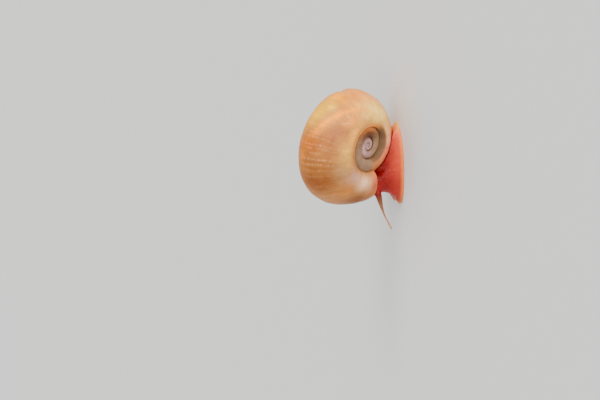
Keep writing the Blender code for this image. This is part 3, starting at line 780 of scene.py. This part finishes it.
def tentacle_shares(points, tentacles):
    """How much each point belongs to a tentacle, and that times how far along the tentacle it lies."""
    on_tentacle = np.zeros(len(points))
    tip = np.zeros(len(points))
    for path, share in tentacles:
        gap = np.full(len(points), 1.0)
        nearest = np.zeros(len(points))
        for place, at in zip(path[ROOT_STEPS:], share[ROOT_STEPS:]):
            away = np.linalg.norm(points - place, axis=1)
            closer = away < gap
            gap[closer] = away[closer]
            nearest[closer] = at
        near = fade(gap, 0.75 * MM, -0.25 * MM) * fade(nearest, 0.12, 0.24)
        on_tentacle = np.maximum(on_tentacle, near)
        tip = np.maximum(tip, near * nearest)
    return on_tentacle, tip


def foot_shares(points):
    """Shares from 0 to 1 of the foot's rim, the tail end and the front corners."""
    x, y, z = points.T
    low = fade(z, RIM_HEIGHT, -RIM_HEIGHT)
    outer = fade(np.abs(x - BODY_X) / FOOT_HALF_WIDTH, 0.35, 0.5)
    end = fade(y, 4.4 * MM, 2.2 * MM)
    front = fade(y, -6.2 * MM, -1.2 * MM) * fade(z, 1.2 * MM, -1.2 * MM)
    return low * np.maximum(outer, np.maximum(end, front)), end, front


def skin_noise(points, height, stretch, wavelength, seed):
    return height * lattice_noise(points * np.array(stretch), wavelength * MM, seed)


def skin_relief(points, normals, on_tentacle, rim):
    """Fine relief in millimetres: lumps all over, neck folds, flank pleats and waves at the foot's rim."""
    z = points[:, 2]
    neck = fade(z, 1.6 * MM, 1.5 * MM) * (1.0 - on_tentacle)
    flank = fade(z, 0.0, 0.5 * MM) * fade(z, 2.2 * MM, -1.2 * MM)
    sole = fade(normals[:, 2], -0.5, -0.4) * fade(z, 0.2 * MM, -0.2 * MM)
    relief = sum(skin_noise(points, *row) for row in LUMPS) * (1.0 - 0.6 * on_tentacle)
    relief += skin_noise(points, *NECK_FOLDS) * neck
    relief += skin_noise(points, *FLANK_PLEATS) * flank
    relief += skin_noise(points, *RIM_WAVES) * rim
    return relief * (1.0 - sole)


def sink_socket(points, side):
    """The skin with a cup pressed in for one eye and a lid raised round it, and the share of painted shade in
    the cup.
    """
    centre, out = eye_place(side)
    offset = points - centre
    depth = offset @ out
    away = np.linalg.norm(offset - depth[:, None] * out, axis=1)
    near = np.linalg.norm(offset, axis=1) < 2.5 * EYE_RADIUS
    cup = near & (away < CUP_RADIUS)
    bottom = -np.sqrt(np.clip(CUP_RADIUS ** 2 - away ** 2, 0.0, None))
    sunk = np.where(cup, np.minimum(bottom - depth, 0.0), 0.0)
    lid = np.where(near & ~cup, LID_HEIGHT * bell((away - LID_RADIUS) / LID_WIDTH), 0.0)
    # painted shade in the eye's cup, darkest near its middle
    dark = np.where(near, bell(np.clip(away - SOCKET_SHADE, 0.0, None) / SOCKET_FADE), 0.0)
    return points + (sunk + lid)[:, None] * out, dark


def make_flesh(shell):
    """The whole skin: body, tentacles and lips remeshed to one surface, settled and given its relief."""
    face_y = float(flesh_ring(np.array(MOUTH_STATION), np.array(0.0))[1])
    pieces = [surface("skin_body", body_grid())]
    tentacles = []
    for side, path_points in ((1, LEFT_TENTACLE), (-1, RIGHT_TENTACLE)):
        path, share = tentacle_path(path_points)
        tentacles.append((path, share))
        pieces.append(surface("skin_tentacle", tube(path, tentacle_radii(share))))
        centre = (BODY_X + side * LIP_SPREAD, face_y + LIP_SINK, MOUTH_HEIGHT)
        pieces.append(surface("skin_lip", ball(centre, LIP_RADII, MOUTH_LEAN)))
    skin = one_skin(pieces)
    mesh = skin.data
    normals = read_rows(mesh.vertices, "normal", 3)
    edges = read_rows(mesh.edges, "vertices", 2, int)
    settled = settle_skin(read_rows(mesh.vertices, "co", 3) + BOX_MIDDLE, normals, edges, shell)

    x, y, z = settled.T
    on_tentacle, tip = tentacle_shares(settled, tentacles)
    rim, end, front = foot_shares(settled)
    points = settled + normals * skin_relief(settled, normals, on_tentacle, rim)[:, None] * MM
    points[:, 2] = np.maximum(points[:, 2], 0.0)
    slit = bell((x - BODY_X) / SLIT_WIDTH) * bell((z - MOUTH_HEIGHT) / SLIT_HEIGHT)
    slit *= fade(y, face_y + 1.2 * MM, -0.8 * MM) * fade(normals[:, 1], -0.1, -0.3)
    points[:, 1] += slit * SLIT_DEPTH
    points, left_socket = sink_socket(points, 1)
    points, right_socket = sink_socket(points, -1)
    mesh.vertices.foreach_set("co", (points - BOX_MIDDLE).reshape(-1))
    mesh.update()

    shares = {
        "rim": rim,
        # pink-orange painted highlight low on the flank, stronger towards the tail
        "salmon_painted_highlight": fade(z, 3.0 * MM, -3.0 * MM) * (0.24 + 0.58 * fade(y, -4.2 * MM, 5.4 * MM)),
        "pale_end": np.maximum(end * fade(z, 1.6 * MM, -1.6 * MM), 0.8 * front),
        "tentacle": on_tentacle,
        "tip": tip,
        # darker skin along the mouth's slit, and painted shade in the eye cups
        "dark": np.maximum(slit, np.maximum(left_socket, right_socket)),
    }
    for label, amounts in shares.items():
        add_value(mesh, label, amounts)
    return skin


def make_eye(side, name):
    """A fine ball at the inner base of a tentacle."""
    centre, _ = eye_place(side)
    return surface(name, ball(centre, (EYE_RADIUS,) * 3))


class Finish:
    """A material with short ways to add nodes. A value is a number, a colour or another node's output."""

    def __init__(self, name):
        self.material = bpy.data.materials.new(name)
        self.material.use_nodes = True
        self.tree = self.material.node_tree

    def fill_in(self, sockets, values):
        for key, value in values.items():
            socket = sockets[key]
            if isinstance(value, bpy.types.NodeSocket):
                self.tree.links.new(value, socket)
            elif socket.type == "RGBA":
                socket.default_value = (*(float(part) for part in value), 1.0)
            else:
                socket.default_value = value

    def add(self, kind, output, values=None, **settings):
        """One output of a new node with these inputs and settings."""
        made = self.tree.nodes.new("ShaderNode" + kind)
        for key, setting in settings.items():
            setattr(made, key, setting)
        self.fill_in(made.inputs, values or {})
        return made.outputs[output]

    def shade(self, values):
        """The finished material, with these inputs of its shader."""
        self.fill_in(self.tree.nodes["Principled BSDF"].inputs, values)
        return self.material

    def place(self):
        return self.add("TexCoord", "Object")

    def share(self, name):
        return self.add("Attribute", "Fac", attribute_name=name)

    def noise(self, vector, scale, detail=3.0, roughness=0.55):
        return self.add("TexNoise", "Fac", {
            "Vector": vector, "Scale": scale, "Detail": detail, "Roughness": roughness})

    def stretch(self, vector, scale):
        return self.add("Mapping", "Vector", {"Vector": vector, "Scale": scale})

    def span(self, value, low, high, to_low=0.0, to_high=1.0):
        return self.add("MapRange", "Result", {
            "Value": value, "From Min": low, "From Max": high, "To Min": to_low, "To Max": to_high,
        }, clamp=True)

    def times(self, first, second):
        return self.add("Math", "Value", {0: first, 1: second}, operation="MULTIPLY")

    def blend(self, share, first, second, mode="MIX"):
        return self.add("Mix", 2, {0: share, 6: first, 7: second}, data_type="RGBA", blend_type=mode)

    def bump(self, height, distance, strength):
        return self.add("Bump", "Normal", {"Height": height, "Distance": distance, "Strength": strength})


def horn_material():
    """Horn of the shell: patches of colour, some of them painted light and shade, streaks along the growth
    lines, flecks and dotted pale lines.
    """
    horn = Finish("shell_horn")
    place = horn.place()
    growth = horn.add("UVMap", "UV", uv_map="growth")
    streaks = horn.span(horn.noise(horn.stretch(growth, (3.2, 0.16, 1.0)), 1.0, 4.0, 0.6), 0.35, 0.7)
    colour = horn.blend(streaks, (0.9, 0.86, 0.82), (1.1, 1.1, 1.06))
    colour = horn.blend(1.0, horn.add("Attribute", "Color", attribute_name="tint"), colour, "MULTIPLY")
    mottle = horn.span(horn.noise(place, 700.0, 4.0, 0.65), 0.3, 0.7)
    flecks = horn.blend(mottle, (0.84, 0.80, 0.78), (1.18, 1.18, 1.14))
    colour = horn.blend(1.0, colour, flecks, "MULTIPLY")
    dots = horn.span(horn.noise(horn.stretch(growth, (0.9, 3.4, 1.0)), 1.0, 2.0), 0.44, 0.62)
    pale = horn.times(horn.times(horn.share("pale_line"), dots), 0.75)
    fine = horn.noise(horn.stretch(growth, (7.0, 0.35, 1.0)), 1.0, 3.0, 0.6)
    return horn.shade({
        "Base Color": horn.blend(pale, colour, linear(244, 180, 124)),
        "Roughness": horn.span(horn.noise(place, 1400.0), 0.3, 0.7, 0.3, 0.46),
        "Specular IOR Level": 0.06,
        "Subsurface Weight": 0.25,
        "Subsurface Radius": (1.0, 0.45, 0.2),
        "Subsurface Scale": 0.8 * MM,
        "Normal": horn.bump(fine, 0.03 * MM, 0.5),
    })


def skin_material():
    """Moist red skin: a pink-orange painted highlight low on the flank, orange foot rim, dark tentacle roots,
    pale specks, a darkened mouth slit and painted shade in the eye cups.
    """
    skin = Finish("moist_skin")
    place = skin.place()
    mottle = skin.span(skin.noise(place, 500.0), 0.3, 0.7)
    colour = skin.blend(mottle, linear(122, 12, 14), linear(154, 20, 20))
    # pink-orange painted highlight low on the flank, stronger towards the tail
    colour = skin.blend(skin.share("salmon_painted_highlight"), colour, linear(228, 84, 52))
    colour = skin.blend(skin.share("rim"), colour, linear(236, 134, 54))
    colour = skin.blend(skin.share("pale_end"), colour, linear(214, 160, 62))
    along_tentacle = skin.blend(skin.share("tip"), linear(62, 14, 6), linear(176, 122, 76))
    colour = skin.blend(skin.share("tentacle"), colour, along_tentacle)
    specks = skin.span(skin.noise(place, 6400.0, 0.5, 0.5), 0.58, 0.9)
    colour = skin.blend(skin.times(specks, 0.34), colour, linear(240, 130, 96))
    return skin.shade({
        # the mouth's slit darkened, and painted shade in the eye cups
        "Base Color": skin.blend(skin.share("dark"), colour, linear(84, 16, 14)),
        "Roughness": skin.span(skin.noise(place, 2600.0, 2.0), 0.3, 0.7, 0.3, 0.5),
        "Specular IOR Level": 0.14,
        "Subsurface Weight": 0.45,
        "Subsurface Radius": (1.0, 0.3, 0.18),
        "Subsurface Scale": 0.9 * MM,
        "Coat Weight": 0.03,
        "Coat Roughness": 0.15,
        "Normal": skin.bump(skin.noise(place, 4200.0, 2.0, 0.5), 0.03 * MM, 0.6),
    })


def eye_material():
    """Black wet eye with a faint brown mottle."""
    eye = Finish("eye_gloss")
    mottle = eye.noise(eye.place(), 9000.0)
    return eye.shade({
        "Base Color": eye.blend(mottle, (0.004, 0.004, 0.005), (0.02, 0.012, 0.01)),
        "Roughness": 0.08,
        "Coat Weight": 0.6,
    })


def floor_material():
    floor = Finish("pale_floor")
    mottle = floor.noise(floor.place(), 400.0)
    return floor.shade({
        "Base Color": floor.blend(mottle, (0.69, 0.69, 0.685), (0.71, 0.71, 0.705)),
        "Roughness": 0.8,
    })


def make_floor():
    """A flat square of floor, a grid of points just under the sole."""
    half = 20.0
    drop = 0.01 * MM
    cells = 8
    ticks = np.linspace(-half, half, cells + 1)
    x, y = np.meshgrid(ticks, ticks, indexing="ij")
    corners = np.stack([x, y, np.full_like(x, -drop)], axis=-1).reshape(-1, 3)
    i, j = np.meshgrid(np.arange(cells), np.arange(cells), indexing="ij")
    first = (i * (cells + 1) + j).reshape(-1)
    quads = np.stack([first, first + cells + 1, first + cells + 2, first + 1], axis=-1)
    mesh = bpy.data.meshes.new("floor")
    mesh.from_pydata(corners.tolist(), [], quads.tolist())
    floor = bpy.data.objects.new("floor", mesh)
    bpy.context.scene.collection.objects.link(floor)
    return floor


# The camera looks down from the animal's left, a little from the front, rolled on its side. PIXEL is one
# pixel's size at the animal, ORIGIN_PIXEL the place of the frame's origin, and LENS_PIXELS the focal length.
CAMERA_ELEVATION = math.radians(19.0)
CAMERA_AZIMUTH = math.radians(-14.0)
CAMERA_ROLL = math.radians(-6.0)
CAMERA_DISTANCE = 200.0 * MM
PIXEL = 0.165 * MM
ORIGIN_PIXEL = (397.0, 159.5)
IMAGE_MIDDLE = (300.0, 200.0)
IMAGE_WIDTH = 600.0
LENS_PIXELS = 1206.0
SENSOR_WIDTH = 36.0


def camera_axes():
    """Unit vectors from the object to the camera, to the image's right and to its top."""
    up = Vector((0.0, 0.0, 1.0))
    level = Vector((math.cos(CAMERA_AZIMUTH), -math.sin(CAMERA_AZIMUTH), 0.0))
    toward = math.cos(CAMERA_ELEVATION) * level + math.sin(CAMERA_ELEVATION) * up
    right = -math.cos(CAMERA_ELEVATION) * up + math.sin(CAMERA_ELEVATION) * level
    top = toward.cross(right)
    right = math.cos(CAMERA_ROLL) * right + math.sin(CAMERA_ROLL) * top
    return toward, right, toward.cross(right)


def make_camera():
    toward, right, top = camera_axes()
    origin = -Vector(BOX_MIDDLE)
    to_middle = (-CAMERA_DISTANCE * toward + PIXEL * (IMAGE_MIDDLE[0] - ORIGIN_PIXEL[0]) * right
                 - PIXEL * (IMAGE_MIDDLE[1] - ORIGIN_PIXEL[1]) * top)
    back = -to_middle.normalized()
    across = (right - right.dot(back) * back).normalized()
    turned = Matrix((across, back.cross(across), back)).transposed()
    data = bpy.data.cameras.new("camera")
    data.sensor_width = SENSOR_WIDTH
    data.lens = LENS_PIXELS / IMAGE_WIDTH * SENSOR_WIDTH
    data.clip_start = 0.005
    data.clip_end = 100.0
    camera = bpy.data.objects.new("camera", data)
    camera.location = origin + CAMERA_DISTANCE * toward
    camera.rotation_euler = turned.to_euler()
    bpy.context.scene.collection.objects.link(camera)
    bpy.context.scene.camera = camera


def make_sun(name, direction, strength, spread, colour):
    """A soft distant lamp, shining from a direction and spread over so many degrees."""
    data = bpy.data.lights.new(name, "SUN")
    data.energy = strength
    data.angle = math.radians(spread)
    data.color = colour
    light = bpy.data.objects.new(name, data)
    light.rotation_euler = direction.normalized().to_track_quat("Z", "Y").to_euler()
    bpy.context.scene.collection.objects.link(light)


def make_lights():
    """A broad soft key from the picture's top, a softer fill from beside the camera, and a pale world."""
    toward, right, top = camera_axes()
    make_sun("key_light", 0.55 * toward + 0.80 * top - 0.16 * right, 3.6, 30.0, (1.0, 0.97, 0.92))
    make_sun("fill_light", 0.9 * toward + 0.3 * top + 0.12 * right, 2.8, 60.0, (1.0, 0.98, 0.95))
    world = bpy.data.worlds.new("studio")
    world.use_nodes = True
    background = world.node_tree.nodes["Background"]
    background.inputs["Color"].default_value = (0.95, 0.95, 0.95, 1.0)
    background.inputs["Strength"].default_value = 1.25
    bpy.context.scene.world = world


shell = make_shell()
skin = make_flesh(shell)
eyes = {"left": make_eye(1, "eye_ball_left"), "right": make_eye(-1, "eye_ball_right")}
floor = make_floor()

shell.data.materials.append(horn_material())
skin.data.materials.clear()
skin.data.materials.append(skin_material())
wet_black = eye_material()
for eye in eyes.values():
    eye.data.materials.append(wet_black)
floor.data.materials.append(floor_material())

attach(shell, "root")
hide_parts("shell")
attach(skin, "root")
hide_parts("mantle", "neck", "head", "foot", "tail", "tentacle_left_base", "tentacle_left_tip",
            "tentacle_right_base", "tentacle_right_tip")
for side, eye in eyes.items():
    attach(eye, "root")
    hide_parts("eye_" + side)

make_camera()
make_lights()
